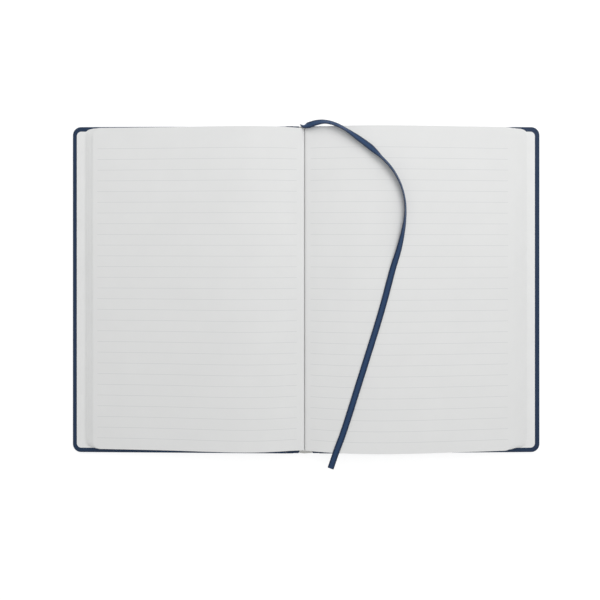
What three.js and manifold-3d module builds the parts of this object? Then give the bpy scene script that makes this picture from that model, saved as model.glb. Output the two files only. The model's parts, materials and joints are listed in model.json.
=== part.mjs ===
// A case-bound, thread-sewn, ruled logbook with a ribbon marker, lying open on a flat surface.
// Millimetres. X runs across the open book with the front cover on -X, Y runs from the tail
// (the bottom edge of the pages) to the head, and Z is up. The origin is under the middle of the
// spine, on the surface that the book lies on.

import * as THREE from 'three';
import { mergeVertices } from 'three/addons/utils/BufferGeometryUtils.js';
import Module from 'manifold-3d';

const wasm = await Module();
wasm.setup();

// Case
const caseHeight = 215.7;
const openHalfWidth = 154.75;
const coverCornerRadius = 5.5;
const boardThickness = 2.0;
const skinThickness = 0.4;
const glueGap = 0.05;
const turnIn = 15;
const coverTilt = THREE.MathUtils.degToRad(1.1);
const hingeX = 10.5;
const hingeZ = 1.0;
const boardStart = 2.8;
const frontPastedownMargin = 2.9;
const backPastedownMargin = 3.35;
const endsPastedownMargin = 3.2;
const pastedownCornerRadius = 3;
const pastedownThickness = 0.12;
const mullThickness = 0.1;
const mullFlangeWidth = 25;

// Spine
const spineHalfWidth = 8.65;
const spineCardThickness = 0.9;

// Text block
const pageHeight = 210;
const pageCornerRadius = 5;
const blockShift = 1.3;
const frontSections = 5;
const backSections = 7;
const leavesPerSection = 8;
const leafThickness = 0.09;
const sectionThickness = leavesPerSection * leafThickness;
const flyleafStart = 9.5;
const backFrontX = -5.7;
const backBackX = 5.3;
const backEdgeZ = 5.2;
const backTopZ = 6.45;
const gutterX = -1.3;

// Ribbon marker
const ribbonWidth = 4;
const ribbonThickness = 0.3;

const coverWidth = (openHalfWidth - hingeX) / Math.cos(coverTilt) + hingeZ * Math.sin(coverTilt);
const coverFloor = (openHalfWidth - hingeX) * Math.sin(coverTilt) - hingeZ * Math.cos(coverTilt);
const coverThickness = boardThickness + 2 * (skinThickness + glueGap);
const pastedownTop = coverThickness + glueGap + pastedownThickness;
const pageHead = pageHeight / 2 + blockShift;
const pageTail = -pageHeight / 2 + blockShift;

const finishes = {
  leatherette: { color: 0x27374a, roughness: 0.62, metalness: 0 },
  board: { color: 0x8d8579, roughness: 0.95, metalness: 0 },
  paper: { color: 0xe4e5e7, roughness: 0.9, metalness: 0 },
  endpaper: { color: 0xe9e9ea, roughness: 0.9, metalness: 0 },
  gauze: { color: 0xdad4c4, roughness: 1, metalness: 0 },
  thread: { color: 0xeeeae0, roughness: 0.8, metalness: 0 },
  band: { color: 0xf2f2f0, roughness: 0.8, metalness: 0 },
  ribbon: { color: 0x24365c, roughness: 0.4, metalness: 0 },
};

function piece(name, geometry, finish) {
  const mesh = new THREE.Mesh(geometry, new THREE.MeshStandardMaterial(finishes[finish]));
  mesh.name = name;
  return mesh;
}

// Solid booleans

function solidOf(geometry) {
  const bare = geometry.clone();
  bare.deleteAttribute('normal');
  bare.deleteAttribute('uv');
  const merged = mergeVertices(bare, 1e-4);
  return new wasm.Manifold(new wasm.Mesh({
    numProp: 3,
    vertProperties: new Float32Array(merged.attributes.position.array),
    triVerts: new Uint32Array(merged.index.array),
  }));
}

function geometryOf(solid) {
  const mesh = solid.getMesh();
  const geometry = new THREE.BufferGeometry();
  geometry.setAttribute('position', new THREE.BufferAttribute(mesh.vertProperties, mesh.numProp));
  geometry.setIndex(new THREE.BufferAttribute(mesh.triVerts, 1));
  geometry.computeVertexNormals();
  return geometry;
}

// A flat sheet on the cover's plane, from u0 at the spine side to u1 at the fore-edge, with its
// two fore-edge corners rounded. It lies between the heights w0 and w1 over the cover's floor.
function coverSheet(u0, u1, halfHeight, radius, w0, w1) {
  const outline = new THREE.Shape();
  outline.moveTo(u0, -halfHeight);
  outline.lineTo(u1 - radius, -halfHeight);
  outline.absarc(u1 - radius, -halfHeight + radius, radius, -Math.PI / 2, 0, false);
  outline.lineTo(u1, halfHeight - radius);
  outline.absarc(u1 - radius, halfHeight - radius, radius, 0, Math.PI / 2, false);
  outline.lineTo(u0, halfHeight);
  outline.closePath();
  const sheet = new THREE.ExtrudeGeometry(outline, {
    depth: w1 - w0,
    bevelEnabled: false,
    curveSegments: 8,
  });
  return sheet.translate(0, 0, w0);
}

function plainBox(x0, x1, y0, y1, z0, z1) {
  const box = new THREE.BoxGeometry(x1 - x0, y1 - y0, z1 - z0);
  return box.translate((x0 + x1) / 2, (y0 + y1) / 2, (z0 + z1) / 2);
}

// Cover: board, leatherette wrapped over its three free edges, mull flange and pastedown

function coverLeatherette() {
  const halfHeight = caseHeight / 2;
  const w = coverThickness;
  const whole = solidOf(coverSheet(boardStart, coverWidth, halfHeight, coverCornerRadius, 0, w));
  const pocket = solidOf(coverSheet(
    boardStart - 1,
    coverWidth - skinThickness,
    halfHeight - skinThickness,
    coverCornerRadius - skinThickness,
    skinThickness,
    w - skinThickness,
  ));
  const opening = solidOf(plainBox(
    boardStart - 1,
    coverWidth - turnIn,
    turnIn - halfHeight,
    halfHeight - turnIn,
    skinThickness * 2,
    w + 1,
  ));
  return geometryOf(whole.subtract(pocket).subtract(opening));
}

function coverBoard() {
  const inset = skinThickness + glueGap;
  return coverSheet(
    boardStart,
    coverWidth - inset,
    caseHeight / 2 - inset,
    coverCornerRadius - inset,
    inset,
    inset + boardThickness,
  );
}

function mullFlange() {
  const floor = skinThickness + boardThickness + 2 * glueGap;
  const halfHeight = caseHeight / 2 - turnIn - 1;
  return plainBox(
    boardStart,
    boardStart + mullFlangeWidth,
    -halfHeight,
    halfHeight,
    floor,
    floor + mullThickness,
  );
}

function pastedown(margin) {
  return coverSheet(
    boardStart,
    coverWidth - margin,
    caseHeight / 2 - endsPastedownMargin,
    pastedownCornerRadius,
    coverThickness + glueGap,
    pastedownTop,
  );
}

// The back cover's pieces stand in a group turned about its hinge line; the front cover's group
// is the same, turned half round.
function cover(side, margin) {
  const plane = new THREE.Group();
  plane.position.set(0, 0, coverFloor);
  plane.add(
    piece(`${side}_board`, coverBoard(), 'board'),
    piece(`${side}_leatherette`, coverLeatherette(), 'leatherette'),
    piece(`${side}_mull_flange`, mullFlange(), 'gauze'),
    piece(`${side}_pastedown`, pastedown(margin), 'endpaper'),
  );
  const tilted = new THREE.Group();
  tilted.rotation.y = coverTilt;
  tilted.add(plane);
  const placed = new THREE.Group();
  const isFront = side === 'front';
  placed.position.set(isFront ? -hingeX : hingeX, 0, hingeZ);
  placed.rotation.z = isFront ? Math.PI : 0;
  placed.add(tilted);
  return placed;
}

// Bent strips: a leaf, section, cloth or lining is a box whose stations follow a curve in XZ

function curveThrough(points) {
  const corners = points.map(([x, z]) => new THREE.Vector3(x, 0, z));
  return new THREE.CatmullRomCurve3(corners, false, 'centripetal');
}

// Fractions along a strip of the given length: close together at the root, where it bends most,
// and round the corners at its far end.
function stationsAlong(length, radius, count = 28, cornerSteps = 6) {
  const straight = length - radius;
  const stations = [];
  for (let i = 0; i < count; i += 1) {
    stations.push(Math.pow(i / count, 1.8) * straight / length);
  }
  for (let i = 0; i <= cornerSteps; i += 1) {
    const angle = i / cornerSteps * Math.PI / 2;
    stations.push((straight + radius * Math.sin(angle)) / length);
  }
  return stations;
}

// place(u, face) gives the [x, z] of a station, with face 0 on the strip's lower side and 1 on
// its upper side. The strip runs from tail to head, and ends in two round corners if it has a
// radius.
function bentStrip(stations, place, tail, head, radius = 0, length = 0) {
  const last = stations.length - 1;
  const geometry = new THREE.BoxGeometry(1, 1, 1, last, 1, 1);
  const position = geometry.attributes.position;
  for (let i = 0; i < position.count; i += 1) {
    const u = stations[Math.round((position.getX(i) + 0.5) * last)];
    const [x, z] = place(u, position.getZ(i) + 0.5);
    const intoCorner = Math.max(0, (u - 1) * length + radius);
    const cut = radius - Math.sqrt(Math.max(0, radius * radius - intoCorner * intoCorner));
    const y = position.getY(i) > 0 ? head - cut : tail + cut;
    position.setXYZ(i, x, y, z);
  }
  return outwards(geometry);
}

// A box whose stations run towards -X is inside out, so its triangles are turned over.
function outwards(geometry) {
  const position = geometry.attributes.position;
  const index = geometry.index;
  const corners = [new THREE.Vector3(), new THREE.Vector3(), new THREE.Vector3()];
  let volume = 0;
  for (let i = 0; i < index.count; i += 3) {
    corners.forEach((corner, j) => corner.fromBufferAttribute(position, index.getX(i + j)));
    volume += corners[0].dot(corners[1].clone().cross(corners[2]));
  }
  if (volume < 0) {
    for (let i = 0; i < index.count; i += 3) {
      const first = index.getX(i);
      index.setX(i, index.getX(i + 2));
      index.setX(i + 2, first);
    }
  }
  geometry.computeVertexNormals();
  return geometry;
}

// Upper face of a pastedown at a distance x from the spine's middle
function coverTopAt(x) {
  return (openHalfWidth - x) * Math.tan(coverTilt) + pastedownTop / Math.cos(coverTilt);
}

// Each side of the open block lies between a lowest and a top page. The lowest follows the cover,
// and the top one stands up in the gutter, swells over, and falls to the fore-edge.
const restGap = 0.3;

const backLowest = curveThrough([
  [backBackX, backEdgeZ],
  [backBackX + 1.6, backEdgeZ + 0.75],
  [flyleafStart, coverTopAt(flyleafStart) + restGap],
  [20, coverTopAt(20) + restGap],
  [60, coverTopAt(60) + restGap],
  [146.5, coverTopAt(146.5) + restGap],
]);

const backTop = curveThrough([
  [gutterX + 0.1, backTopZ],
  [gutterX + 0.1, 10.2],
  [gutterX + 0.3, 11],
  [-0.4, 11.45],
  [3, 12.55],
  [6.4, 13.55],
  [12, 14.8],
  [27, 17.3],
  [45, 18.3],
  [67.5, 17.3],
  [88.5, 15.3],
  [110, 13.1],
  [134.2, 10.4],
]);

const frontLowest = curveThrough([
  [backFrontX, backEdgeZ],
  [backFrontX - 1.4, backEdgeZ + 0.7],
  [-flyleafStart, coverTopAt(flyleafStart) + restGap],
  [-20, coverTopAt(20) + restGap],
  [-60, coverTopAt(60) + restGap],
  [-146.4, coverTopAt(146.4) + restGap],
]);

const frontTop = curveThrough([
  [gutterX - 0.12, backTopZ],
  [gutterX - 0.12, 9.4],
  [gutterX - 0.45, 10.2],
  [-2.8, 10.55],
  [-9.3, 11.4],
  [-19.6, 13.2],
  [-30, 14.4],
  [-45, 14.6],
  [-66, 13.1],
  [-87, 11.1],
  [-108, 9.7],
  [-139.8, 7.9],
]);

// A point of the block at the fraction u out from the back and the fraction f up from the cover
function blockPoint(lowest, top, u, f) {
  const low = lowest.getPointAt(u);
  const high = top.getPointAt(u);
  return new THREE.Vector3().lerpVectors(low, high, f);
}

// Leaves that lie at the fraction f, as one solid of the given thickness across its own path
function leafStack(lowest, top, f, thickness, u0 = 0) {
  const length = top.getLength();
  const stations = stationsAlong(length, pageCornerRadius).map((u) => u0 + (1 - u0) * u);
  const step = 0.004;
  const place = (u, face) => {
    const point = blockPoint(lowest, top, u, f);
    const before = blockPoint(lowest, top, Math.max(0, u - step), f);
    const along = blockPoint(lowest, top, Math.min(1, u + step), f).sub(before).normalize();
    const up = lowest === backLowest ? 1 : -1;
    const offset = up * (face - 0.5) * thickness;
    return [point.x - along.z * offset, point.z + along.x * offset];
  };
  return bentStrip(stations, place, pageTail, pageHead, pageCornerRadius, length);
}

// Sections are numbered from the front cover; eight leaves each, sewn through the fold
function sections() {
  const block = new THREE.Group();
  for (let i = 0; i < frontSections + backSections; i += 1) {
    const isFront = i < frontSections;
    const count = isFront ? frontSections : backSections;
    const level = isFront ? i : frontSections + backSections - 1 - i;
    const f = (level + 0.5) / count;
    const [lowest, top] = isFront ? [frontLowest, frontTop] : [backLowest, backTop];
    const name = `section_${String(i + 1).padStart(2, '0')}`;
    block.add(piece(name, leafStack(lowest, top, f, sectionThickness), 'paper'));
  }
  return block;
}

// The leaf that is being turned is the uppermost one of the fifth section
const leafStart = 0.018;
const leafLevel = 1.02;

function turningLeaf() {
  const leaf = leafStack(frontLowest, frontTop, leafLevel, leafThickness, leafStart);
  return piece('turning_leaf', leaf, 'paper');
}

function flyleaf(side, foreEdge) {
  const sign = side === 'front' ? -1 : 1;
  const length = foreEdge - flyleafStart;
  const place = (u, face) => {
    const x = flyleafStart + u * length;
    return [sign * x, coverTopAt(x) + 0.06 + face * leafThickness];
  };
  const stations = stationsAlong(length, pageCornerRadius, 2);
  const strip = bentStrip(stations, place, pageTail, pageHead, pageCornerRadius, length);
  return piece(`${side}_flyleaf`, strip, 'endpaper');
}

// The sewn back of the block is a low tent, with its ridge where the book is open
function backHeightAt(x) {
  const rise = backTopZ - backEdgeZ;
  const reach = x < gutterX ? gutterX - backFrontX : backBackX - gutterX;
  return backTopZ - rise * Math.abs(x - gutterX) / reach;
}

// A layer glued across the back, from depth d0 to depth d1 under the folds
function backLayer(name, x0, x1, y0, y1, d0, d1, finish) {
  const turning = (gutterX - x0) / (x1 - x0);
  const place = (u, face) => {
    const x = x0 + u * (x1 - x0);
    return [x, backHeightAt(x) - (face > 0.5 ? d0 : d1)];
  };
  return piece(name, bentStrip([0, turning, 1], place, y0, y1), finish);
}

const glueDepth = 0.1;
const sewingStations = [-75, -28, 28, 75];
const threadThickness = 0.4;
const threadEnds = [-5.2, 4.8];
const mullDepth = 0.6;
const mullEnds = [-5.2, 5];
const mullTail = -95;
const mullHead = 98;
const liningDepth = 0.85;
const liningThickness = 0.2;
const liningEnds = [-4.5, 3.9];
const liningTail = -107.6;
const liningHead = 107;
const gluedRibbonEnds = [-3.6, 0];
const gluedRibbonTail = 80;
const gluedRibbonHead = 95;

function backOfBlock() {
  const group = new THREE.Group();
  sewingStations.forEach((y, i) => {
    const from = y + blockShift - threadThickness / 2;
    group.add(backLayer(
      `sewing_thread_${i + 1}`, ...threadEnds, from, from + threadThickness,
      glueDepth, glueDepth + threadThickness, 'thread',
    ));
  });
  group.add(
    backLayer(
      'mull', ...mullEnds, mullTail, mullHead, mullDepth, mullDepth + 2 * mullThickness, 'gauze',
    ),
    backLayer(
      'spine_lining', ...liningEnds, liningTail, liningHead,
      liningDepth, liningDepth + liningThickness, 'paper',
    ),
    backLayer(
      'ribbon_glued_end', ...gluedRibbonEnds, gluedRibbonTail, gluedRibbonHead,
      glueDepth, glueDepth + ribbonThickness, 'ribbon',
    ),
  );
  return group;
}

// A band is a beaded tape: its flap is glued under the end of the back, and its round bead stands
// just past the ends of the folds. The outline is drawn in YZ, outward on +Y.
const headBeadRadius = 0.52;
const tailBeadRadius = 0.8;
const beadHeight = 1.1;
const beadGap = 0.15;
const flapLength = 9;
const flapTop = -0.15;
const flapFloor = -0.5;
const beadX0 = -4.5;
const beadX1 = 3.9;

function band(name, end) {
  const beadRadius = end === 'head' ? headBeadRadius : tailBeadRadius;
  const outline = new THREE.Shape();
  outline.moveTo(-flapLength, flapFloor);
  outline.lineTo(beadGap + beadRadius, flapFloor);
  outline.lineTo(beadGap + 2 * beadRadius, beadHeight);
  outline.absarc(beadGap + beadRadius, beadHeight, beadRadius, 0, Math.PI, false);
  outline.lineTo(beadGap, flapTop);
  outline.lineTo(-flapLength, flapTop);
  outline.closePath();
  const tape = new THREE.ExtrudeGeometry(outline, {
    depth: beadX1 - beadX0,
    bevelEnabled: false,
    curveSegments: 8,
    steps: 6,
  });
  const position = tape.attributes.position;
  for (let i = 0; i < position.count; i += 1) {
    const out = position.getX(i);
    const x = beadX0 + position.getZ(i);
    const y = end === 'head' ? pageHead + out : pageTail - out;
    position.setXYZ(i, x, y, backHeightAt(x) + position.getY(i));
  }
  return piece(name, geometryOf(solidOf(outwards(indexed(tape)))), 'band');
}

function indexed(geometry) {
  geometry.deleteAttribute('normal');
  geometry.deleteAttribute('uv');
  return mergeVertices(geometry, 1e-4);
}

// Spine: a narrow card with the leatherette turned over its head and tail, and two joints of
// bare leatherette that run from it to the boards
function spine() {
  const group = new THREE.Group();
  const inset = skinThickness + glueGap;
  const cardHalfWidth = spineHalfWidth - 0.7;
  const cardHalfHeight = caseHeight / 2 - inset;
  const total = spineCardThickness + 2 * inset;
  const whole = plainBox(
    -spineHalfWidth, spineHalfWidth, -caseHeight / 2, caseHeight / 2, 0, total,
  );
  const pocket = plainBox(
    -spineHalfWidth - 1, spineHalfWidth + 1,
    skinThickness - caseHeight / 2, caseHeight / 2 - skinThickness,
    skinThickness, total - skinThickness,
  );
  const opening = plainBox(
    -spineHalfWidth - 1, spineHalfWidth + 1,
    turnIn - caseHeight / 2, caseHeight / 2 - turnIn,
    skinThickness * 2, total + 1,
  );
  const skin = solidOf(whole).subtract(solidOf(pocket)).subtract(solidOf(opening));
  const card = plainBox(
    -cardHalfWidth, cardHalfWidth, -cardHalfHeight, cardHalfHeight,
    inset, inset + spineCardThickness,
  );
  group.add(
    piece('spine_card', card, 'board'),
    piece('spine_leatherette', geometryOf(skin), 'leatherette'),
  );
  return group;
}

function jointLeatherette(side) {
  const sign = side === 'front' ? -1 : 1;
  const boardEdgeX = hingeX + boardStart;
  const boardEdgeZ = (openHalfWidth - boardEdgeX) * Math.tan(coverTilt) + skinThickness / 2;
  const half = skinThickness / 2;
  const middle = curveThrough([
    [spineHalfWidth + glueGap, half],
    [spineHalfWidth + 0.7, half + 0.1],
    [hingeX + 0.2, half + 0.75],
    [hingeX + 1.2, boardEdgeZ - 0.75],
    [boardEdgeX - 0.8, boardEdgeZ - 0.05],
    [boardEdgeX - 0.1, boardEdgeZ],
  ]);
  const steps = 12;
  const stations = Array.from({ length: steps + 1 }, (_, i) => i / steps);
  const place = (u, face) => {
    const point = middle.getPointAt(u);
    const along = middle.getTangentAt(u);
    const offset = (face - 0.5) * skinThickness;
    return [sign * (point.x - along.z * offset), point.z + along.x * offset];
  };
  const strip = bentStrip(stations, place, -caseHeight / 2, caseHeight / 2);
  return piece(`${side}_joint_leatherette`, strip, 'leatherette');
}

// Ribbon: up out of the head of the spine, over the head of the pages, on edge round the bend, and
// then flat across the page and out past the tail. Each point has the ribbon's roll in degrees.
const ribbonRoute = [
  [-2.4, 107.9, 8.4, -75],
  [-1, 107.2, 11.6, -30],
  [1.8, 107.2, 13.7, -10],
  [6.3, 108.3, 15.4, -24],
  [12, 108.7, 16.6, -44],
  [18.6, 106.9, 17.8, -48],
  [25.8, 102.9, 19, -52],
  [33.2, 97.6, 19.6, -28],
  [40.7, 91.9, 20, -14],
  [47.2, 86, 20.2, -58],
  [52.9, 80, 20.4, -60],
  [57.4, 73.4, 20.1, -64],
  [60.7, 66, 19.8, -66],
  [62.5, 58.5, 19.6, -66],
  [62.9, 51.5, 19.5, -64],
  [62.4, 44.6, 19.3, -56],
  [61.1, 37, 19, -44],
  [58.7, 26.6, 18.5, -24],
  [55.4, 15.8, 18.1, -10],
  [52.5, 5, 18, -2],
  [49.8, -5.2, 18.1, 0],
  [45, -21.8, 18.1, 1],
  [39.7, -38.8, 18, 3],
  [34.2, -56.5, 17.7, 6],
  [28.9, -73.7, 17.3, 8],
  [23.6, -90.5, 16.6, 9],
  [19.1, -103, 15.9, 9],
  [15.6, -114.2, 14, 5],
];

function ribbonMarker() {
  const spots = ribbonRoute.map(([x, y, z]) => new THREE.Vector3(x, y, z));
  const route = new THREE.CatmullRomCurve3(spots, false, 'centripetal');
  const steps = 78;
  const geometry = new THREE.BoxGeometry(1, 1, 1, steps, 1, 1);
  const position = geometry.attributes.position;
  const up = new THREE.Vector3(0, 0, 1);
  for (let i = 0; i < position.count; i += 1) {
    const t = position.getX(i) + 0.5;
    const knot = t * (ribbonRoute.length - 1);
    const before = Math.min(Math.floor(knot), ribbonRoute.length - 2);
    const roll = THREE.MathUtils.lerp(
      ribbonRoute[before][3], ribbonRoute[before + 1][3], knot - before,
    );
    const along = route.getTangent(t);
    const across = new THREE.Vector3().crossVectors(along, up).normalize();
    across.applyAxisAngle(along, THREE.MathUtils.degToRad(roll));
    const face = new THREE.Vector3().crossVectors(across, along);
    const spot = route.getPoint(t);
    spot.addScaledVector(across, position.getY(i) * ribbonWidth);
    spot.addScaledVector(face, position.getZ(i) * ribbonThickness);
    position.setXYZ(i, spot.x, spot.y, spot.z);
  }
  return piece('ribbon_marker', outwards(geometry), 'ribbon');
}

const logbook = new THREE.Group();
logbook.add(
  spine(),
  jointLeatherette('front'),
  jointLeatherette('back'),
  cover('front', frontPastedownMargin),
  cover('back', backPastedownMargin),
  flyleaf('front', 146.9),
  flyleaf('back', 147),
  sections(),
  turningLeaf(),
  backOfBlock(),
  band('head_band', 'head'),
  band('tail_band', 'tail'),
  ribbonMarker(),
);

export default logbook;
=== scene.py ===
import json
import math

import bmesh
import bpy
import numpy as np
from mathutils import Matrix, Vector


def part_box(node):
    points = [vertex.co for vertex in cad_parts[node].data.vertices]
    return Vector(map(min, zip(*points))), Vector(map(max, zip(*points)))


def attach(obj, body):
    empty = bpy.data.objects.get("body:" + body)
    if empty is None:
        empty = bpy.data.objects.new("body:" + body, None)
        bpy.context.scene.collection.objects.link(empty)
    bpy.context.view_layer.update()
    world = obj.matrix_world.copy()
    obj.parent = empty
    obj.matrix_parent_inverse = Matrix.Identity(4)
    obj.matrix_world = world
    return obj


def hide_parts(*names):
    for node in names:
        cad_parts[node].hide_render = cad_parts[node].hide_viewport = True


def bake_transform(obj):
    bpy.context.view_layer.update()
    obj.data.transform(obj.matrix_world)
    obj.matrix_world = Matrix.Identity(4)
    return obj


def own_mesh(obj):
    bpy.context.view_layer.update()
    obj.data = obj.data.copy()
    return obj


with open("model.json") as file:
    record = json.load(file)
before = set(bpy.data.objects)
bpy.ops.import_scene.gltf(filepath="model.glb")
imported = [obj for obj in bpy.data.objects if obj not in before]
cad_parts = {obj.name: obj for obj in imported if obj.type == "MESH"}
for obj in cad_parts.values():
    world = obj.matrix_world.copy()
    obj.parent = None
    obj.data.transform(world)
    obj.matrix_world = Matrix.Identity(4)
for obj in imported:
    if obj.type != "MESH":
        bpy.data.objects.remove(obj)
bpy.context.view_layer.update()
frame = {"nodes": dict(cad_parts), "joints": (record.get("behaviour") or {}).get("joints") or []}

# ---------------------------------------------------------------- Boards
# Three pieces of greyboard stiffen the case: one in each cover and a narrow one in the spine. They
# are pressed from waste paper, cut square, and glued to the back of the leatherette.

joints = {joint["name"]: joint for joint in frame["joints"]}


def new_finish(name, colour, roughness, specular=0.5):
    """A finish of one plain colour, and the shader that its detail is then led to."""
    finish = bpy.data.materials.new(name)
    finish.use_nodes = True
    shader = finish.node_tree.nodes["Principled BSDF"]
    shader.inputs["Base Color"].default_value = (*colour, 1)
    shader.inputs["Roughness"].default_value = roughness
    shader.inputs["Specular IOR Level"].default_value = specular
    return finish, shader


def add_node(tree, kind, inputs=(), **settings):
    """A node whose inputs are set to plain values, or linked where a socket is given."""
    made = tree.nodes.new("ShaderNode" + kind)
    for name, value in settings.items():
        setattr(made, name, value)
    for name, value in dict(inputs).items():
        if isinstance(value, bpy.types.NodeSocket):
            tree.links.new(value, made.inputs[name])
        else:
            made.inputs[name].default_value = value
    return made


def reckon(tree, operation, *values, clamp=False):
    """The result of a Math node."""
    node = add_node(tree, "Math", enumerate(values), operation=operation, use_clamp=clamp)
    return node.outputs[0]


def tint(tree, factor, plain, changed):
    """A colour between two others."""
    mixed = add_node(tree, "Mix", {0: factor, 6: plain, 7: changed}, data_type="RGBA")
    return mixed.outputs[2]


def raise_surface(tree, shader, height, distance, strength=1.0):
    """Small relief, in metres, on a shader's surface."""
    bump = add_node(tree, "Bump", {"Height": height, "Distance": distance, "Strength": strength})
    tree.links.new(bump.outputs[0], shader.inputs["Normal"])


def new_effect(name, inputs, outputs):
    """An empty node group with its sockets, for an effect that several finishes use."""
    effect = bpy.data.node_groups.new(name, "ShaderNodeTree")
    for label, value in inputs.items():
        kind = "NodeSocketVector" if value is None else "NodeSocketFloat"
        socket = effect.interface.new_socket(label, in_out="INPUT", socket_type=kind)
        if value is not None:
            socket.default_value = value
    for label in outputs:
        effect.interface.new_socket(label, in_out="OUTPUT", socket_type="NodeSocketFloat")
    return effect, effect.nodes.new("NodeGroupInput"), effect.nodes.new("NodeGroupOutput")


def use_effect(tree, effect, inputs):
    """An effect placed in a finish, with its own values."""
    placed = tree.nodes.new("ShaderNodeGroup")
    placed.node_tree = effect
    for name, value in inputs.items():
        if isinstance(value, bpy.types.NodeSocket):
            tree.links.new(value, placed.inputs[name])
        else:
            placed.inputs[name].default_value = value
    return placed.outputs


# Matted fibres: fine relief, and cloudy patches where the pulp lies thicker
pulp, pulp_in, pulp_out = new_effect(
    "matted_fibres", {"Place": None, "Fineness": 3000.0, "Cloud": 60.0}, ["Cloudiness", "Height"]
)
fibres = add_node(pulp, "TexNoise", {
    "Vector": pulp_in.outputs["Place"], "Scale": pulp_in.outputs["Fineness"],
    "Detail": 4.0, "Roughness": 0.7, "Distortion": 1.2,
})
clouds = add_node(pulp, "TexNoise", {
    "Vector": pulp_in.outputs["Place"], "Scale": pulp_in.outputs["Cloud"],
    "Detail": 3.0, "Roughness": 0.6,
})
pulp.links.new(clouds.outputs["Fac"], pulp_out.inputs["Cloudiness"])
pulp.links.new(fibres.outputs["Fac"], pulp_out.inputs["Height"])

greyboard, shader = new_finish("greyboard", (0.27, 0.235, 0.19), 0.95, 0.2)
tree = greyboard.node_tree
place = add_node(tree, "TexCoord").outputs["Object"]
fibre = use_effect(tree, pulp, {"Place": place, "Fineness": 1800.0, "Cloud": 350.0})
colour = tint(tree, fibre["Cloudiness"], (0.18, 0.155, 0.125, 1), (0.38, 0.335, 0.28, 1))
tree.links.new(colour, shader.inputs["Base Color"])
raise_surface(tree, shader, fibre["Height"], 0.0002)


def give_finish(name, finish):
    """A finish for a CAD node that keeps its own shape."""
    for slot in frame["nodes"][name].material_slots:
        slot.material = finish


for board in ("front_board", "back_board", "spine_card"):
    give_finish(board, greyboard)

# ---------------------------------------------------------------- Cover leatherette
# Navy leatherette, a coated paper embossed with a fine pebble grain, is drawn over each board. It is
# turned in 15 mm round the three free edges, and its corners follow the board's round ones.

turn_in = 0.015
skin_thickness = 0.0004
cover_corner = 0.0055
rolled_edge = 0.00065

leatherette, shader = new_finish("navy_leatherette", (0.0095, 0.027, 0.073), 0.5, 0.32)
tree = leatherette.node_tree
place = add_node(tree, "TexCoord").outputs["Object"]
pebbles = add_node(tree, "TexVoronoi", {
    "Vector": place, "Scale": 1500.0, "Smoothness": 0.6, "Randomness": 1.0,
}, feature="SMOOTH_F1")
creases = add_node(tree, "TexNoise", {
    "Vector": place, "Scale": 420.0, "Detail": 5.0, "Roughness": 0.6,
})
patches = add_node(tree, "TexNoise", {"Vector": place, "Scale": 26.0, "Detail": 3.0})
rub = add_node(tree, "Attribute", attribute_name="rub").outputs["Fac"]
grain = reckon(tree, "SUBTRACT", creases.outputs["Fac"], pebbles.outputs["Distance"])
raise_surface(tree, shader, grain, 0.00018, 0.55)
# Painted shade: the leatherette's colour is darker in the hollows between the pebbles of its grain,
# where shade falls
painted_pit_shade = reckon(tree, "MULTIPLY_ADD", pebbles.outputs["Distance"], 0.8, 0.1, clamp=True)
body = tint(tree, painted_pit_shade, (0.0118, 0.0355, 0.089, 1), (0.005, 0.0175, 0.048, 1))
varied = reckon(tree, "MULTIPLY_ADD", patches.outputs["Fac"], 0.5, -0.1, clamp=True)
body = tint(tree, varied, body, (0.0145, 0.041, 0.094, 1))
worn = reckon(tree, "MULTIPLY", rub, creases.outputs["Fac"])
worn = reckon(tree, "MULTIPLY", worn, 0.75, clamp=True)
body = tint(tree, worn, body, (0.05, 0.088, 0.15, 1))
tree.links.new(body, shader.inputs["Base Color"])
gloss = reckon(tree, "MULTIPLY_ADD", patches.outputs["Fac"], 0.22, 0.4)
gloss = reckon(tree, "SUBTRACT", gloss, reckon(tree, "MULTIPLY", rub, 0.1))
tree.links.new(gloss, shader.inputs["Roughness"])


def clear_choice():
    """Nothing selected, so that the next operator acts on the new piece only."""
    if bpy.context.object and bpy.context.object.mode != "OBJECT":
        bpy.ops.object.mode_set(mode="OBJECT")
    bpy.ops.object.select_all(action="DESELECT")


def new_block(name, low, high):
    """A block between two corners, open for editing."""
    clear_choice()
    middle = [(a + b) / 2 for a, b in zip(low, high)]
    bpy.ops.mesh.primitive_cube_add(size=1, location=middle)
    block = bpy.context.object
    block.name = name
    block.scale = [b - a for a, b in zip(low, high)]
    bpy.ops.object.transform_apply(location=True, rotation=True, scale=True)
    bpy.ops.object.mode_set(mode="EDIT")
    return block


def choose(piece, parts, wanted):
    """Selects the verts, edges or faces of an open mesh that pass a test, and nothing else."""
    modes = {"verts": "VERT", "edges": "EDGE", "faces": "FACE"}
    bpy.ops.mesh.select_mode(type=modes[parts])
    bpy.ops.mesh.select_all(action="DESELECT")
    mesh = bmesh.from_edit_mesh(piece.data)
    for part in getattr(mesh, parts):
        if wanted(part):
            part.select_set(True)
    bmesh.update_edit_mesh(piece.data)


def cut(spot, across):
    """Cuts the whole open mesh along a plane."""
    bpy.ops.mesh.select_all(action="SELECT")
    bpy.ops.mesh.bisect(plane_co=spot, plane_no=across)


def close_mesh():
    bpy.ops.mesh.select_all(action="DESELECT")
    bpy.ops.object.mode_set(mode="OBJECT")


def thicken(piece, thickness, offset=0.0):
    wall = piece.modifiers.new("wall", "SOLIDIFY")
    wall.thickness = thickness
    wall.offset = offset
    bpy.ops.object.modifier_apply(modifier="wall")


def complete(piece, finish, sharp=35):
    """Smooth shading and the finish."""
    clear_choice()
    piece.select_set(True)
    bpy.context.view_layer.objects.active = piece
    bpy.ops.object.shade_smooth_by_angle(angle=math.radians(sharp))
    piece.data.materials.clear()
    piece.data.materials.append(finish)


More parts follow.
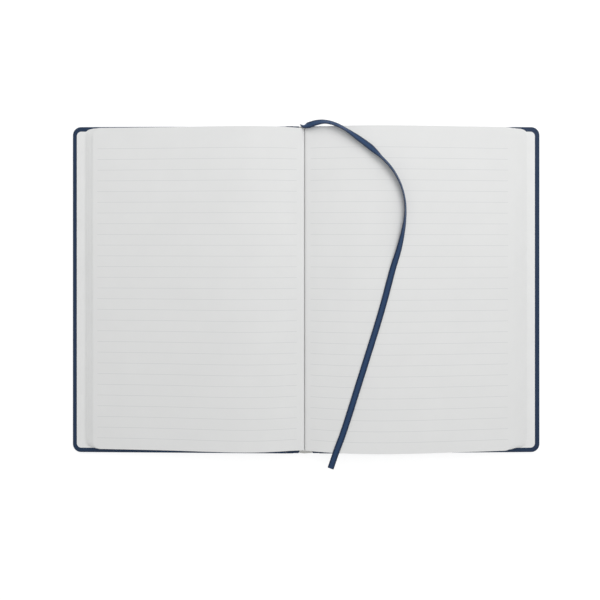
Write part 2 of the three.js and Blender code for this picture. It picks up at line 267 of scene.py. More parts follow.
def mark_rub(piece):
    """Leatherette rubs where it turns an edge, so the rolled vertices are marked for wear."""
    rub_mark = piece.data.attributes.new("rub", "FLOAT", "POINT")
    for i, vertex in enumerate(piece.data.vertices):
        flattest = max(abs(part) for part in vertex.normal)
        rub_mark.data[i].value = min(1.0, (1 - flattest) * 4)


def cover_plane(side):
    """The cover's own plane: X from the hinge to the fore-edge, and Z out of its inner face."""
    hinge = joints[f"{side}_cover_hinge"]
    tilt = math.radians(-hinge["range_deg"][0] - 90)
    turned = Matrix.Rotation(math.pi if side == "front" else 0, 4, "Z")
    return Matrix.Translation(hinge["pos_m"]) @ turned @ Matrix.Rotation(tilt, 4, "Y")


def wrap_cloth(name, low, high, free_sides, creases=()):
    """Cloth round a block: rolled over its free sides, turned in, and open inside."""
    near = 1e-5
    skin = new_block(name, low, high)
    if "fore" in free_sides:
        choose(skin, "edges", lambda edge: all(v.co.x > high.x - near for v in edge.verts)
               and abs(edge.verts[0].co.y - edge.verts[1].co.y) < near)
        bpy.ops.mesh.bevel(offset=cover_corner, segments=10)

    def on_free_rim(edge):
        level = abs(edge.verts[0].co.z - edge.verts[1].co.z) < near
        ends = all(abs(v.co.y) > high.y - near for v in edge.verts)
        inner = all(v.co.x < low.x + near for v in edge.verts)
        outer = all(v.co.x > high.x - near for v in edge.verts)
        if "fore" in free_sides:
            return level and not inner
        return level and ends and not inner and not outer

    choose(skin, "edges", on_free_rim)
    bpy.ops.mesh.bevel(offset=rolled_edge, segments=4)
    for y in (low.y + turn_in, high.y - turn_in):
        cut((0, y, 0), (0, 1, 0))
    if "fore" in free_sides:
        cut((high.x - turn_in, 0, 0), (1, 0, 0))
    inside = high.x - turn_in if "fore" in free_sides else high.x

    def in_window(face):
        middle = face.calc_center_median()
        open_above = middle.z > high.z - near and abs(middle.y) < high.y - turn_in
        spine_side = middle.x < low.x + near
        other_side = "fore" not in free_sides and middle.x > high.x - near
        return (open_above and middle.x < inside) or spine_side or other_side

    choose(skin, "faces", in_window)
    bpy.ops.mesh.delete(type="FACE")
    for spot, across in creases:
        cut(spot, across)
    close_mesh()
    mark_rub(skin)
    thicken(skin, skin_thickness, -1)
    return skin


for side in ("front", "back"):
    plane = cover_plane(side)
    node = frame["nodes"][f"{side}_leatherette"]
    corners = [plane.inverted() @ vertex.co for vertex in node.data.vertices]
    low = Vector(min(corner[i] for corner in corners) for i in range(3))
    high = Vector(max(corner[i] for corner in corners) for i in range(3))
    skin = wrap_cloth(f"{side}_cover_cloth", low, high, ("fore", "ends"))
    skin.data.transform(plane)
    complete(skin, leatherette)
    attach(skin, f"{side}_cover")
    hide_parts(f"{side}_leatherette")

# ---------------------------------------------------------------- Spine and joints
# The same leatherette runs on over the narrow spine card, turned in at its head and tail. Between
# card and board it is bare: two soft strips, pressed down into a groove, that the covers hinge on.

shoulder_height = 0.0042
shoulder_length = 0.009
shoulder_proud = 0.0003
shoulder_ramp = 0.0011
block_middle_x = -0.0003
block_half_width = 0.0037
low, high = (Vector(corner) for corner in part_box("spine_leatherette"))
spine_end = high.y


def shoulder_share(x, y):
    """How far the cloth stands up beside the block's ends: not at all in the spine's middle."""
    towards_end = np.clip((np.abs(y) - spine_end + shoulder_length) / shoulder_length, 0, 1)
    from_middle = np.abs(x - block_middle_x)
    beside_block = np.clip((from_middle - block_half_width) / shoulder_ramp, 0, 1)
    return towards_end ** 2 * (3 - 2 * towards_end) * beside_block


def mesh_places(piece):
    places = np.zeros(len(piece.data.vertices) * 3)
    piece.data.vertices.foreach_get("co", places)
    return places.reshape(-1, 3)


def move_mesh(piece, places):
    piece.data.vertices.foreach_set("co", places.ravel())
    piece.data.update()


# Creases in mm, along the spine and across its ends, so that the shoulders can rise
long_creases = (-7.5, -6, -5.1, -4.6, -4.1, -3.6, 3, 3.5, 4, 4.5, 5.4, 7)
end_creases = range(1, 10)
spine_cloth = wrap_cloth("spine_cloth", low, high, ("ends",), [
    ((x / 1000, 0, 0), (1, 0, 0)) for x in long_creases
] + [((0, side * (high.y - i / 1000), 0), (0, 1, 0)) for side in (-1, 1) for i in end_creases])
places = mesh_places(spine_cloth)
share = shoulder_share(places[:, 0], places[:, 1])
upper = places[:, 2] > (low.z + high.z) / 2
places[:, 2] += np.where(upper, (shoulder_height - high.z) * share, 0)
places[:, 1] += np.where(upper, np.sign(places[:, 1]) * shoulder_proud * share, 0)
move_mesh(spine_cloth, places)
complete(spine_cloth, leatherette)
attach(spine_cloth, "spine")
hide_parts("spine_leatherette")


def smooth_run(points, steps=60):
    """Closely spaced places on a smooth curve through the given ones."""
    points = [np.array(point, float) for point in points]
    points = [2 * points[0] - points[1], *points, 2 * points[-1] - points[-2]]
    run = []
    for i in range(1, len(points) - 2):
        p = points[i - 1:i + 3]
        gaps = [np.linalg.norm(p[k + 1] - p[k]) ** 0.5 for k in range(3)]
        t = np.concatenate([[0], np.cumsum(gaps)])
        for s in np.linspace(t[1], t[2], steps, endpoint=False):
            a = [((t[k + 1] - s) * p[k] + (s - t[k]) * p[k + 1]) / gaps[k] for k in range(3)]
            b = [((t[k + 2] - s) * a[k] + (s - t[k]) * a[k + 1]) / (t[k + 2] - t[k])
                 for k in range(2)]
            run.append(((t[2] - s) * b[0] + (s - t[1]) * b[1]) / gaps[1])
    run.append(points[-2])
    return np.array(run)


def even_run(points, count=1200):
    """The same curve, as places at even distances along it."""
    run = smooth_run(points)
    steps = np.linalg.norm(np.diff(run, axis=0), axis=1)
    travelled = np.concatenate([[0], np.cumsum(steps)])
    wanted = np.linspace(0, travelled[-1], count)
    return np.stack([np.interp(wanted, travelled, run[:, k]) for k in range(run.shape[1])], 1)


def place_on(run, fraction):
    """Places at the given fractions of a run's length."""
    at = np.clip(fraction, 0, 1) * (len(run) - 1)
    return np.stack([np.interp(at, np.arange(len(run)), run[:, k]) for k in range(2)], -1)


def direction_on(run, fraction):
    """Unit directions of a run at the given fractions of its length."""
    step = 0.003
    ahead = place_on(run, np.minimum(1, fraction + step))
    behind = place_on(run, np.maximum(0, fraction - step))
    along = ahead - behind
    return along / np.linalg.norm(along, axis=-1, keepdims=True)


tilt = math.radians(-joints["back_cover_hinge"]["range_deg"][0] - 90)
hinge_x = joints["back_cover_hinge"]["pos_m"][0]
fore_edge_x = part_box("back_leatherette")[1][0]
spine_edge_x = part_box("spine_leatherette")[1][0]
hinge_to_board = 0.0028
ripple_height = 0.00005
board_edge_x = hinge_x + hinge_to_board
board_edge_z = (fore_edge_x - board_edge_x) * math.tan(tilt) + skin_thickness / 2
groove = even_run([
    (spine_edge_x, 0.0002), (spine_edge_x + 0.0007, 0.0003), (hinge_x + 0.0002, 0.00095),
    (hinge_x + 0.0012, board_edge_z - 0.00075), (board_edge_x - 0.0008, board_edge_z - 0.00005),
    (board_edge_x, board_edge_z),
], 300)
low, high = (Vector(corner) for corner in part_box("back_joint_leatherette"))
for side, sign in (("front", -1), ("back", 1)):
    clear_choice()
    bpy.ops.mesh.primitive_grid_add(x_subdivisions=20, y_subdivisions=100, size=1)
    strip = bpy.context.object
    strip.name = f"{side}_joint_cloth"
    places = mesh_places(strip)
    spots = place_on(groove, places[:, 0] + 0.5)
    ripple = ripple_height * np.sin(places[:, 1] * 60) * np.sin((places[:, 0] + 0.5) * math.pi)
    y = places[:, 1] * (high.y - low.y)
    share = shoulder_share(spots[:, 0], y)
    rise = np.maximum(0, shoulder_height - skin_thickness / 2 - spots[:, 1]) * share
    y = y + np.sign(y) * shoulder_proud * share
    move_mesh(strip, np.stack([sign * spots[:, 0], y, spots[:, 1] + ripple + rise], 1))
    thicken(strip, skin_thickness)
    complete(strip, leatherette)
    start = (sign * groove[0, 0], 0, groove[0, 1])
    end = (sign * groove[-1, 0], 0, groove[-1, 1])
    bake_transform(strip)
    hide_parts(f"{side}_joint_leatherette")

# ---------------------------------------------------------------- Sewn sections
# Twelve sections of four sheets, each sheet folded once to give two leaves of smooth ruled paper. The
# sheets are nested and sewn through the fold, and the block is trimmed and its corners are rounded.

page_low, page_high = (Vector(corner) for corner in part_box("section_06"))
page_tail = page_low.y
page_height = page_high.y - page_low.y
page_width = 0.1411
page_corner = 0.005
leaf_thickness = 0.00009
sheets_to_a_section = 4
rule_pitch = 7.0
lowest_rule = 7.3
rule_count = 28
rule_half_width = 0.13
margin_at_fold = 8.5
margin_at_fore_edge = 3.0

paper, shader = new_finish("ruled_paper", (0.765, 0.77, 0.767), 0.9, 0.2)
tree = paper.node_tree
place = add_node(tree, "TexCoord").outputs["Object"]
fibre = use_effect(tree, pulp, {"Place": place, "Fineness": 5200.0, "Cloud": 55.0})
colour = tint(tree, fibre["Cloudiness"], (0.75, 0.755, 0.752, 1), (0.785, 0.79, 0.787, 1))
sheet_map = add_node(tree, "UVMap", uv_map="UVMap").outputs[0]
spread = add_node(tree, "SeparateXYZ", {0: sheet_map})
from_fold = reckon(tree, "MULTIPLY", spread.outputs[0], page_width * 1000)
from_tail = reckon(tree, "MULTIPLY", spread.outputs[1], page_height * 1000)
rule = reckon(tree, "DIVIDE", reckon(tree, "SUBTRACT", from_tail, lowest_rule), rule_pitch)
off_rule = reckon(tree, "SUBTRACT", reckon(tree, "FRACT", reckon(tree, "ADD", rule, 0.5)), 0.5)
off_rule = reckon(tree, "MULTIPLY", reckon(tree, "ABSOLUTE", off_rule), rule_pitch)
softness = 0.05
ink = reckon(tree, "DIVIDE", reckon(tree, "SUBTRACT", rule_half_width, off_rule), softness,
             clamp=True)
ink = reckon(tree, "MULTIPLY", ink, reckon(tree, "GREATER_THAN", rule, -0.5))
ink = reckon(tree, "MULTIPLY", ink, reckon(tree, "LESS_THAN", rule, rule_count - 0.5))
ink = reckon(tree, "MULTIPLY", ink, reckon(tree, "GREATER_THAN", from_fold, margin_at_fold))
last_ink = page_width * 1000 - margin_at_fore_edge
ink = reckon(tree, "MULTIPLY", ink, reckon(tree, "LESS_THAN", from_fold, last_ink))
uneven = reckon(tree, "MULTIPLY_ADD", fibre["Height"], 0.5, 0.75)
ink = reckon(tree, "MULTIPLY", ink, uneven, clamp=True)
colour = tint(tree, ink, colour, (0.625, 0.635, 0.64, 1))
tree.links.new(colour, shader.inputs["Base Color"])
raise_surface(tree, shader, fibre["Height"], 0.00003, 0.5)

# Places along a leaf, in mm from its fold: close where it bends up out of the back
leaf_columns = [
    0, 0.15, 0.35, 0.6, 1, 1.5, 2.1, 2.7, 3.1, 3.5, 3.9, 4.3, 4.7, 5.1, 5.5, 5.9, 6.4, 7.2, 8.2,
    9.5, 11, 13.5, 16.5, 20, 24, 29, 35, 42, 50, 58, 67, 77, 88, 99, 110, 120, 129, 135.5,
]
leaf_rows = 14
fine_rows = 35
pastedown_start_x = 0.0133
swell_height = 0.00022
# Beside the fold the head edge of a page dips towards the tail
head_dip = 0.0009
head_dip_width = 0.022
head_dip_length = 0.02


def flat_sheet(name, from_x, to_x, columns, rows):
    """A sheet cut flat, its outer corners rounded, and creased so that it can bend."""
    clear_choice()
    middle = ((from_x + to_x) / 2, page_tail + page_height / 2, 0)
    bpy.ops.mesh.primitive_plane_add(size=1, location=middle)
    sheet = bpy.context.object
    sheet.name = name
    sheet.scale = (to_x - from_x, page_height, 1)
    bpy.ops.object.transform_apply(location=True, rotation=True, scale=True)
    bpy.ops.object.mode_set(mode="EDIT")
    choose(sheet, "verts", lambda v: abs(v.co.x) > page_width - 1e-5)
    bpy.ops.mesh.bevel(offset=page_corner, segments=7, affect="VERTICES")
    for x in columns:
        cut((x, 0, 0), (1, 0, 0))
    for i in range(1, rows):
        cut((0, page_tail + page_height * i / rows, 0), (0, 1, 0))
    close_mesh()
    layer = sheet.data.uv_layers["UVMap"]
    for loop in sheet.data.loops:
        x, y, _ = sheet.data.vertices[loop.vertex_index].co
        layer.data[loop.index].uv = (abs(x) / page_width, (y - page_tail) / page_height)
    return sheet


def copied(pattern, name):
    """A copy with its own mesh, on its own in the selection."""
    clear_choice()
    twin = pattern.copy()
    twin.data = pattern.data.copy()
    twin.name = name
    bpy.context.collection.objects.link(twin)
    twin.select_set(True)
    bpy.context.view_layer.objects.active = twin
    return twin


def on_cover(x, above):
    """A height over the inside of the open back cover, x from the spine's middle."""
    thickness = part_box("back_pastedown")[1][2] - (fore_edge_x - pastedown_start_x) * math.tan(tilt)
    return (fore_edge_x - x) * math.tan(tilt) + thickness + above


def mirrored(points):
    return [(-x, z) for x, z in points]


def metres(points):
    return [(x / 1000, z / 1000) for x, z in points]


# The paths of the lowest and the top page of each side, across the spine, in mm
rest_gap = 0.0003
lowest_page = [(x, on_cover(x, rest_gap)) for x in (0.0095, 0.02, 0.06)]
back_lowest = even_run([
    *metres([(5.3, 5.2), (6.9, 5.95)]), *lowest_page, (0.1465, on_cover(0.1465, rest_gap)),
])
front_lowest = even_run(mirrored([
    *metres([(5.7, 5.2), (7.1, 5.9)]), *lowest_page, (0.1464, on_cover(0.1464, rest_gap)),
]))
back_top = even_run(metres([
    (-1.37, 6.45), (-1.37, 10.2), (-1.13, 11), (-0.45, 11.45), (3, 12.55), (6.4, 13.55), (12, 14.8),
    (27, 17.3), (45, 18.3), (67.5, 17.3), (88.5, 15.3), (110, 13.1), (134.2, 10.4),
]))
front_top = even_run(metres([
    (-1.42, 6.45), (-1.42, 9.4), (-1.75, 10.2), (-2.8, 10.55), (-9.3, 11.4), (-19.6, 13.2),
    (-30, 14.4), (-45, 14.6), (-66, 13.1), (-87, 11.1), (-108, 9.7), (-139.8, 7.9),
]))


def page_run(side, level):
    """The path of a page at a level between 0, the lowest, and 1, the top."""
    lowest, top = (front_lowest, front_top) if side == "front" else (back_lowest, back_top)
    return lowest + (top - lowest) * level


def swell(fraction, y, level):
    """Paper never lies quite flat: slow waves that grow towards the fore-edge."""
    waves = np.sin(y * 31 + 0.6) * 0.6 + np.sin(y * 53 + fraction * 4 + 2.1) * 0.4
    return swell_height * level * fraction ** 1.5 * waves


def lay_leaf(leaf, side, level, offset, stretch=0.0, slip=0.0):
    """Lays a flat sheet along its path: past a tight fold if it has a half on each side of X."""
    run = page_run(side, level)
    up = -1 if side == "front" else 1
    places = mesh_places(leaf)
    x, y = places[:, 0], places[:, 1]
    quarter = abs(offset) * math.pi / 2
    beyond = np.maximum(0, np.abs(x) - quarter) if offset else np.abs(x)
    fraction = beyond / page_width
    spots = place_on(run, fraction)
    along = direction_on(run, fraction)
    normal = np.stack([-along[:, 1], along[:, 0]], 1) * up
    half = np.where(x < 0, -1, 1)
    turn = np.clip(x / abs(offset), -math.pi / 2, math.pi / 2) if offset else half * math.pi / 2
    spots = spots + normal * (np.sin(turn) * abs(offset))[:, None]
    if offset:
        spots = spots - along * (np.cos(turn) * abs(offset))[:, None]
    lean = np.where(x < 0, -stretch, stretch) * fraction ** 2
    beside_fold = np.clip(1 - beyond / head_dip_width, 0, 1) ** 2
    near_head = np.clip(1 - (page_tail + page_height - y) / head_dip_length, 0, 1)
    y = y - head_dip * beside_fold * near_head
    spots = spots + along * lean[:, None] + normal * swell(fraction, y, level)[:, None]
    move_mesh(leaf, np.stack([spots[:, 0], y + slip * fraction, spots[:, 1]], 1))
    thicken(leaf, leaf_thickness)


def gathered(name, sheets):
    """Several sheets made one piece."""
    clear_choice()
    for sheet in sheets:
        sheet.select_set(True)
    bpy.context.view_layer.objects.active = sheets[0]
    bpy.ops.object.join()
    sheets[0].name = name
    return sheets[0]


# A bend is fitted on two faces, each this far from the middle of a section
face_offset = 0.0005


def bend_line(run, joint, beside=0.0):
    """Where a piece on a path starts and ends its bend, so that it stands flat when shut."""
    away = np.sign(run[-1, 0])
    places = run * [away, 1] - [away * joint["pos_m"][0], joint["pos_m"][2]]
    reach = np.linalg.norm(places, axis=1)
    seen = np.degrees(np.arctan2(places[:, 1], places[:, 0]))
    upright = np.degrees(np.arccos(np.clip(beside / reach, -1, 1)))
    turned = np.clip((upright - seen) / -joint["range_deg"][0], 0, 1)
    share = 0.5 - np.sin(np.arcsin(1 - 2 * turned) / 3)
    weight = reach * ((share > 0) & (share < 1))
    along = direction_on(run, np.linspace(0, 1, len(run)))
    across = np.stack([-along[:, 1], along[:, 0]], 1) * face_offset
    rows, shares = [], []
    for face in (run - across, run + across):
        known = np.stack([face[:, 0] * away, face[:, 1], np.ones(len(run))], 1)
        rows.append(known * weight[:, None])
        shares.append(share * weight)
    slope, *_ = np.linalg.lstsq(np.concatenate(rows), np.concatenate(shares), rcond=None)
    steep = slope[0] ** 2 + slope[1] ** 2
    start = np.array([slope[0], slope[1]]) * -slope[2] / steep
    end = start + np.array([slope[0], slope[1]]) / steep
    return (away * start[0], 0, start[1]), (away * end[0], 0, end[1])


columns = [sign * x / 1000 for x in leaf_columns for sign in (-1, 1)][1:]
plain_sheet = flat_sheet("sheet", -page_width, page_width, columns, leaf_rows)
fine_sheet = flat_sheet("fine_sheet", -page_width, page_width, columns, fine_rows)
chance = np.random.default_rng(11)
section_nodes = [f"section_{i:02d}" for i in range(1, 13)]
front_sections = 5
section_bends = {}
for i, node in enumerate(section_nodes):
    side = "front" if i < front_sections else "back"
    count = front_sections if side == "front" else len(section_nodes) - front_sections
    level = ((i if side == "front" else len(section_nodes) - 1 - i) + 0.5) / count
    sheets = []
    for k in range(sheets_to_a_section):
        uppermost = i in (front_sections - 1, front_sections) and k == sheets_to_a_section - 1
        sheet = copied(fine_sheet if uppermost else plain_sheet, f"{node}_sheet_{k + 1}")
        offset = (k + 0.5) * leaf_thickness
        stretch = -0.00012 * (k + 1) if side == "front" else -0.00016 * (k + 1)
        slip = chance.normal(0, 0.00012)
        lay_leaf(sheet, side, level, offset, stretch + chance.normal(0, 0.00005), slip)
        sheets.append(sheet)
    section = gathered(f"{node}_sheets", sheets)
    complete(section, paper, 30)
    section_bends[node] = bend_line(page_run(side, level), joints[f"{node}_fold"])
    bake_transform(section)
    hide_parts(node)

# ---------------------------------------------------------------- Turning leaf
# The top leaf on the left is a single one, tipped in beside the fold, and it turns over by itself.
# It is of the same ruled paper. When the book is shut it lies flat in the block.

leaf_level = 1.02
leaf_start = 0.018 * page_width
turning_leaf = flat_sheet(
    "turning_page", leaf_start, page_width,
    [x / 1000 for x in leaf_columns if x / 1000 > leaf_start], fine_rows,
)
lay_leaf(turning_leaf, "front", leaf_level, 0.0)
complete(turning_leaf, paper, 30)
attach(turning_leaf, "turning_leaf")
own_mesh(turning_leaf)
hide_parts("turning_leaf")
for pattern in (plain_sheet, fine_sheet):
    bpy.data.objects.remove(pattern)

# ---------------------------------------------------------------- Sewing, gauze and lining
# Linen thread holds the folds together at four stations. Open cotton gauze, the mull, is glued over
# the back and on under both pastedowns, and a strip of white paper lines it and runs out past both ends.

# Threads over and under each other: Place counts threads on X and Y. The gap output marks the gaps
# between threads, where the finishes paint shade into the colour
weave, weave_in, weave_out = new_effect("woven_threads", {"Place": None}, ["Height", "Gap"])
spread = add_node(weave, "SeparateXYZ", {0: weave_in.outputs["Place"]})
warp = reckon(weave, "ABSOLUTE", reckon(weave, "SINE", reckon(
    weave, "MULTIPLY", spread.outputs[0], math.pi)))
weft = reckon(weave, "ABSOLUTE", reckon(weave, "SINE", reckon(
    weave, "MULTIPLY", spread.outputs[1], math.pi)))
over = add_node(weave, "TexChecker", {"Vector": weave_in.outputs["Place"], "Scale": 1.0})
height = add_node(weave, "Mix", {0: over.outputs["Fac"], 2: warp, 3: weft}).outputs[0]
weave.links.new(height, weave_out.inputs["Height"])
gap = reckon(weave, "SUBTRACT", 1.0, reckon(weave, "MAXIMUM", warp, weft))
weave.links.new(gap, weave_out.inputs["Gap"])

gauze, shader = new_finish("gauze", (0.66, 0.62, 0.53), 0.95, 0.2)
tree = gauze.node_tree
place = add_node(tree, "TexCoord").outputs["Object"]
counted = add_node(tree, "Mapping", {"Vector": place, "Scale": (1300, 1300, 0)})
threads = use_effect(tree, weave, {"Place": counted.outputs[0]})
# Painted shade: the gauze is darker between its threads, where shade falls
colour = tint(tree, threads["Gap"], (0.68, 0.64, 0.55, 1), (0.3, 0.26, 0.2, 1))
tree.links.new(colour, shader.inputs["Base Color"])
raise_surface(tree, shader, threads["Height"], 0.0002)
for node in ("mull", "front_mull_flange", "back_mull_flange"):
    give_finish(node, gauze)

linen, shader = new_finish("linen_thread", (0.78, 0.74, 0.65), 0.8, 0.3)
tree = linen.node_tree
place = add_node(tree, "TexCoord").outputs["Object"]
strands = add_node(tree, "TexWave", {
    "Vector": place, "Scale": 1100.0, "Distortion": 1.5, "Detail": 2.0,
}, bands_direction="DIAGONAL")
# Painted shade: the thread is darker in the grooves of its twist, where the same bands make its bump low
colour = tint(tree, strands.outputs["Fac"], (0.6, 0.55, 0.46, 1), (0.86, 0.83, 0.76, 1))
tree.links.new(colour, shader.inputs["Base Color"])
raise_surface(tree, shader, strands.outputs["Fac"], 0.0001)
for i in range(1, 5):
    give_finish(f"sewing_thread_{i}", linen)

lining, shader = new_finish("lining_paper", (0.6, 0.6, 0.58), 0.9, 0.2)
tree = lining.node_tree
place = add_node(tree, "TexCoord").outputs["Object"]
fibre = use_effect(tree, pulp, {"Place": place, "Fineness": 2400.0, "Cloud": 160.0})
colour = tint(tree, fibre["Cloudiness"], (0.54, 0.54, 0.52, 1), (0.66, 0.66, 0.64, 1))
tree.links.new(colour, shader.inputs["Base Color"])
raise_surface(tree, shader, fibre["Height"], 0.0001)
give_finish("spine_lining", lining)

# ---------------------------------------------------------------- Head and tail bands
# A cotton band finishes each end of the back: white thread wound round a cord, on a tape whose flap
# is glued under the folds. It hides the glue and braces the ends of the block.

back_ridge_x = -0.0013
back_ridge_z = 0.00645
back_edge_z = 0.0052
back_left_x = -0.0057
back_right_x = 0.0053
winding_pitch = 0.00045
cord_gap = 0.00015
cord_rise = 0.0011
flap_length = 0.009
flap_thickness = 0.0003
flap_drop = 0.00032
flap_lift = 0.0009
flap_lift_length = 0.0015

cotton, shader = new_finish("band_cotton", (0.8, 0.8, 0.78), 0.75, 0.3)
tree = cotton.node_tree
band_map = add_node(tree, "UVMap", uv_map="UVMap").outputs[0]
counted = add_node(tree, "Mapping", {"Vector": band_map, "Scale": (60, 24, 0)})
threads = use_effect(tree, weave, {"Place": counted.outputs[0]})
# Painted shade: the band's cotton is darker between its wound threads
colour = tint(tree, threads["Gap"], (0.82, 0.82, 0.8, 1), (0.5, 0.49, 0.46, 1))
tree.links.new(colour, shader.inputs["Base Color"])
raise_surface(tree, shader, threads["Height"], 0.00006)


def back_height(x):
    """The sewn back is a low tent, highest where the book is open."""
    reach = np.where(x < back_ridge_x, back_ridge_x - back_left_x, back_right_x - back_ridge_x)
    return back_ridge_z - (back_ridge_z - back_edge_z) * np.abs(x - back_ridge_x) / reach


for node, end, radius in (("head_band", 1, 0.00052), ("tail_band", -1, 0.0008)):
    low, high = (Vector(corner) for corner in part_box(node))
    width = high.x - low.x
    page_end = page_tail + page_height if end > 0 else page_tail
    cord_y = page_end + end * (cord_gap + radius)
    clear_choice()
    bpy.ops.mesh.primitive_cylinder_add(
        vertices=16, radius=radius, depth=width, end_fill_type="TRIFAN",
        location=((low.x + high.x) / 2, cord_y, 0), rotation=(0, math.pi / 2, 0),
    )
    bead = bpy.context.object
    bpy.ops.object.transform_apply(location=True, rotation=True, scale=True)
    bpy.ops.object.mode_set(mode="EDIT")
    turns = round(width / winding_pitch)
    for i in range(1, turns * 4):
        cut((low.x + width * i / (turns * 4), 0, 0), (1, 0, 0))
    close_mesh()
    places = mesh_places(bead)
    wound = np.abs(np.sin((places[:, 0] - low.x) / width * turns * math.pi))
    squeeze = 0.86 + 0.14 * np.sqrt(wound)
    rise = back_height(places[:, 0]) + cord_rise
    move_mesh(bead, np.stack([
        places[:, 0], cord_y + (places[:, 1] - cord_y) * squeeze, rise + places[:, 2] * squeeze,
    ], 1))
    clear_choice()
    bpy.ops.mesh.primitive_grid_add(x_subdivisions=12, y_subdivisions=16, size=1)
    flap = bpy.context.object
    places = mesh_places(flap)
    x = low.x + (places[:, 0] + 0.5) * width
    inward = (0.5 - places[:, 1]) * (flap_length + radius)
    y = cord_y - end * inward
    lifted = inward < flap_lift_length
    lift = np.where(lifted, (1 - inward / flap_lift_length) ** 2 * flap_lift, 0)
    move_mesh(flap, np.stack([x, y, back_height(x) - flap_drop + lift], 1))
    thicken(flap, flap_thickness)
    band = gathered(f"{node}_wound", [bead, flap])
    complete(band, cotton, 40)
    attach(band, "spine")
    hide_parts(node)

# ---------------------------------------------------------------- Ribbon marker
# A 4 mm navy satin ribbon with firm woven edges. Its colour carries a painted highlight along its middle
# and painted shade along both edges. It comes up out of the head of the spine, where its end is glued to
# the back, lies in one loose bend over the right-hand page, and is cut square.

ribbon_width = 0.004
ribbon_thickness = 0.0003
ribbon_cup = 0.00016
# Places along the middle of the ribbon, in mm, with its roll in degrees
ribbon_route = [
    (-2.4, 107.9, 8.4, -75), (-1, 107.2, 11.6, -30), (1.8, 107.2, 13.7, -10),
    (6.3, 108.3, 15.4, -24), (12, 108.7, 16.6, -44), (18.6, 106.9, 17.8, -48),
    (25.8, 102.9, 19, -52), (33.2, 97.6, 19.6, -28), (40.7, 91.9, 20, -14),
    (47.2, 86, 20.2, -58), (52.9, 80, 20.4, -60), (57.4, 73.4, 20.1, -64),
    (60.7, 66, 19.8, -66), (62.5, 58.5, 19.6, -66), (62.9, 51.5, 19.5, -64),
    (62.4, 44.6, 19.3, -56), (61.1, 37, 19, -44), (58.7, 26.6, 18.5, -24),
    (55.4, 15.8, 18.1, -10), (52.5, 5, 18, -2), (49.8, -5.2, 18.1, 0), (45, -21.8, 18.1, 1),
    (39.7, -38.8, 18, 3), (34.2, -56.5, 17.7, 6), (28.9, -73.7, 17.3, 8),
    (23.6, -90.5, 16.6, 9), (19.1, -103, 15.9, 9), (15.6, -114.2, 14, 5),
]

satin, shader = new_finish("navy_satin", (0.008, 0.028, 0.078), 0.5, 0.3)
shader.inputs["Anisotropic"].default_value = 0.5
shader.inputs["Sheen Weight"].default_value = 0.15
shader.inputs["Sheen Roughness"].default_value = 0.4
shader.inputs["Sheen Tint"].default_value = (0.35, 0.5, 0.8, 1)
tree = satin.node_tree
ribbon_map = add_node(tree, "UVMap", uv_map="UVMap").outputs[0]
counted = add_node(tree, "Mapping", {"Vector": ribbon_map, "Scale": (1100, 26, 0)})
threads = use_effect(tree, weave, {"Place": counted.outputs[0]})
across = reckon(tree, "ABSOLUTE", reckon(
    tree, "SUBTRACT", add_node(tree, "SeparateXYZ", {0: ribbon_map}).outputs[1], 0.5))
edge_fade = reckon(tree, "SUBTRACT", across, 0.2)
painted_edge_shade = reckon(tree, "MULTIPLY", edge_fade, 4.0, clamp=True)
# Painted shade: the satin is darker between its threads
colour = tint(tree, threads["Gap"], (0.011, 0.039, 0.108, 1), (0.004, 0.015, 0.046, 1))
# Painted highlight: a lighter stripe along the middle of the ribbon
middle = reckon(tree, "SUBTRACT", 1.0, reckon(tree, "MULTIPLY", across, 2.4), clamp=True)
colour = tint(tree, reckon(tree, "MULTIPLY", middle, 0.5), colour, (0.027, 0.072, 0.17, 1))
# Painted shade: the ribbon is darker along both edges
colour = tint(tree, reckon(tree, "MULTIPLY", painted_edge_shade, 0.8), colour, (0.003, 0.013, 0.042, 1))
tree.links.new(colour, shader.inputs["Base Color"])
raise_surface(tree, shader, threads["Height"], 0.00004)

spans = len(ribbon_route) - 1
steps_to_a_span = 8
middles = smooth_run([spot[:3] for spot in ribbon_route], steps_to_a_span) / 1000
knots = np.arange(len(middles)) / steps_to_a_span
rolls = np.radians(np.interp(knots, range(spans + 1), [spot[3] for spot in ribbon_route]))
alongs = np.gradient(middles, axis=0)
alongs /= np.linalg.norm(alongs, axis=1, keepdims=True)
clear_choice()
bpy.ops.mesh.primitive_grid_add(
    x_subdivisions=len(middles) - 1, y_subdivisions=8, size=1, calc_uvs=True,
)
ribbon = bpy.context.object
ribbon.name = "ribbon"
places = mesh_places(ribbon)
for i, (x, y, _) in enumerate(places):
    k = round((x + 0.5) * (len(middles) - 1))
    along = Vector(alongs[k])
    across = along.cross(Vector((0, 0, 1))).normalized()
    across.rotate(Matrix.Rotation(rolls[k], 3, along))
    face = across.cross(along)
    cupped = ribbon_cup * (1 - (2 * y) ** 2)
    places[i] = Vector(middles[k]) + across * y * ribbon_width + face * cupped
move_mesh(ribbon, places)
thicken(ribbon, ribbon_thickness)
complete(ribbon, satin, 40)
start, end = section_bends["section_06"]
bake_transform(ribbon)
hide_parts("ribbon_marker")
give_finish("ribbon_glued_end", satin)

# ---------------------------------------------------------------- Endpapers
# A folded sheet of heavier plain paper joins the block to each cover. One half is pasted down over
# the turn-ins and the gauze, and the other is a loose flyleaf next to the first or last section.

endpaper, shader = new_finish("endpaper", (0.8, 0.805, 0.802), 0.88, 0.2)
tree = endpaper.node_tree
place = add_node(tree, "TexCoord").outputs["Object"]
fibre = use_effect(tree, pulp, {"Place": place, "Fineness": 4200.0, "Cloud": 90.0})
colour = tint(tree, fibre["Cloudiness"], (0.775, 0.78, 0.777, 1), (0.83, 0.835, 0.832, 1))
tree.links.new(colour, shader.inputs["Base Color"])
raise_surface(tree, shader, fibre["Height"], 0.00004, 0.5)
for side in ("front", "back"):
    give_finish(f"{side}_pastedown", endpaper)

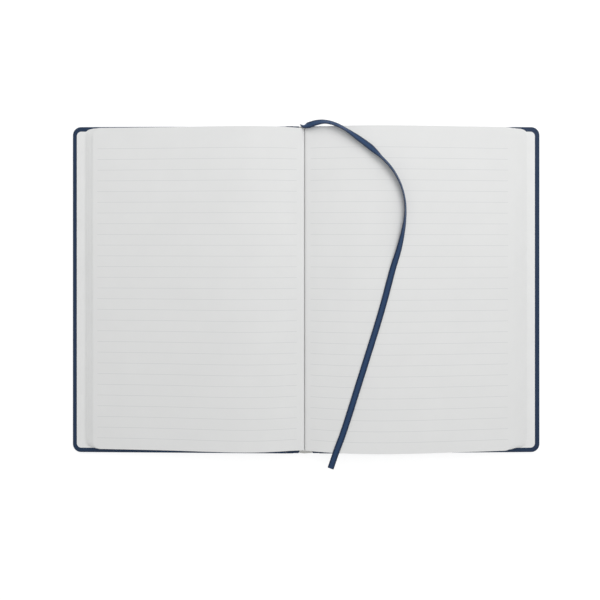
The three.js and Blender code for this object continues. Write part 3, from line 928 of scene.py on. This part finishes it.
flyleaf_gap = 0.0001
flyleaf_to_hinge = 0.00045
for side, section, tip in (("front", "section_01", 0.1469), ("back", "section_12", 0.147)):
    run = [*metres([(5.9, 4.95), (7.4, 5.6)])]
    run += [(x, on_cover(x, flyleaf_gap)) for x in (0.0095, 0.02, 0.06, tip)]
    run = even_run(mirrored(run) if side == "front" else run)
    flyleaf = flat_sheet(
        f"{side}_flyleaf_page", 0, page_width, [x / 1000 for x in leaf_columns[1:]], leaf_rows,
    )
    places = mesh_places(flyleaf)
    spots = place_on(run, places[:, 0] / page_width)
    move_mesh(flyleaf, np.stack([spots[:, 0], places[:, 1], spots[:, 1]], 1))
    thicken(flyleaf, leaf_thickness)
    complete(flyleaf, endpaper, 30)
    start, end = bend_line(run, joints[f"{section}_fold"], beside=flyleaf_to_hinge)
    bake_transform(flyleaf)
    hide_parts(f"{side}_flyleaf")

# ---------------------------------------------------------------- Table, light and camera
# The book lies open on a plain white table, under even light with two large soft lamps above it,
# and is seen from straight above.

white, shader = new_finish("table_white", (0.42, 0.42, 0.42), 0.9, 0.1)
shader.inputs["Emission Color"].default_value = (1, 1, 1, 1)
shader.inputs["Emission Strength"].default_value = 0.72
clear_choice()
bpy.ops.mesh.primitive_plane_add(size=6, location=(0, 0, 0))
table = bpy.context.object
table.name = "table"
table.data.materials.append(white)

world = bpy.data.worlds.new("studio")
world.use_nodes = True
world.node_tree.nodes["Background"].inputs["Color"].default_value = (1, 1, 1, 1)
world.node_tree.nodes["Background"].inputs["Strength"].default_value = 0.595
bpy.context.scene.world = world
bpy.context.scene.view_settings.view_transform = "Standard"


def add_lamp(name, location, size, power):
    clear_choice()
    bpy.ops.object.light_add(type="AREA", location=location)
    lamp = bpy.context.object
    lamp.name = name
    lamp.data.size = size
    lamp.data.energy = power
    aim = Vector((0, 0, 0)) - Vector(location)
    lamp.rotation_euler = aim.to_track_quat("-Z", "Y").to_euler()


add_lamp("overhead", (0.35, 0.2, 0.9), 0.8, 2.0)
add_lamp("head_fill", (0.12, 0.6, 0.55), 0.5, 2.2)

camera_data = bpy.data.cameras.new("camera")
camera_data.sensor_width = 36
camera_data.lens = 35.94
camera_data.shift_y = -0.1083
camera_data.clip_start = 0.01
camera = bpy.data.objects.new("camera", camera_data)
camera.location = (-0.0041, 0.0362, 0.4)
bpy.context.collection.objects.link(camera)
bpy.context.scene.camera = camera
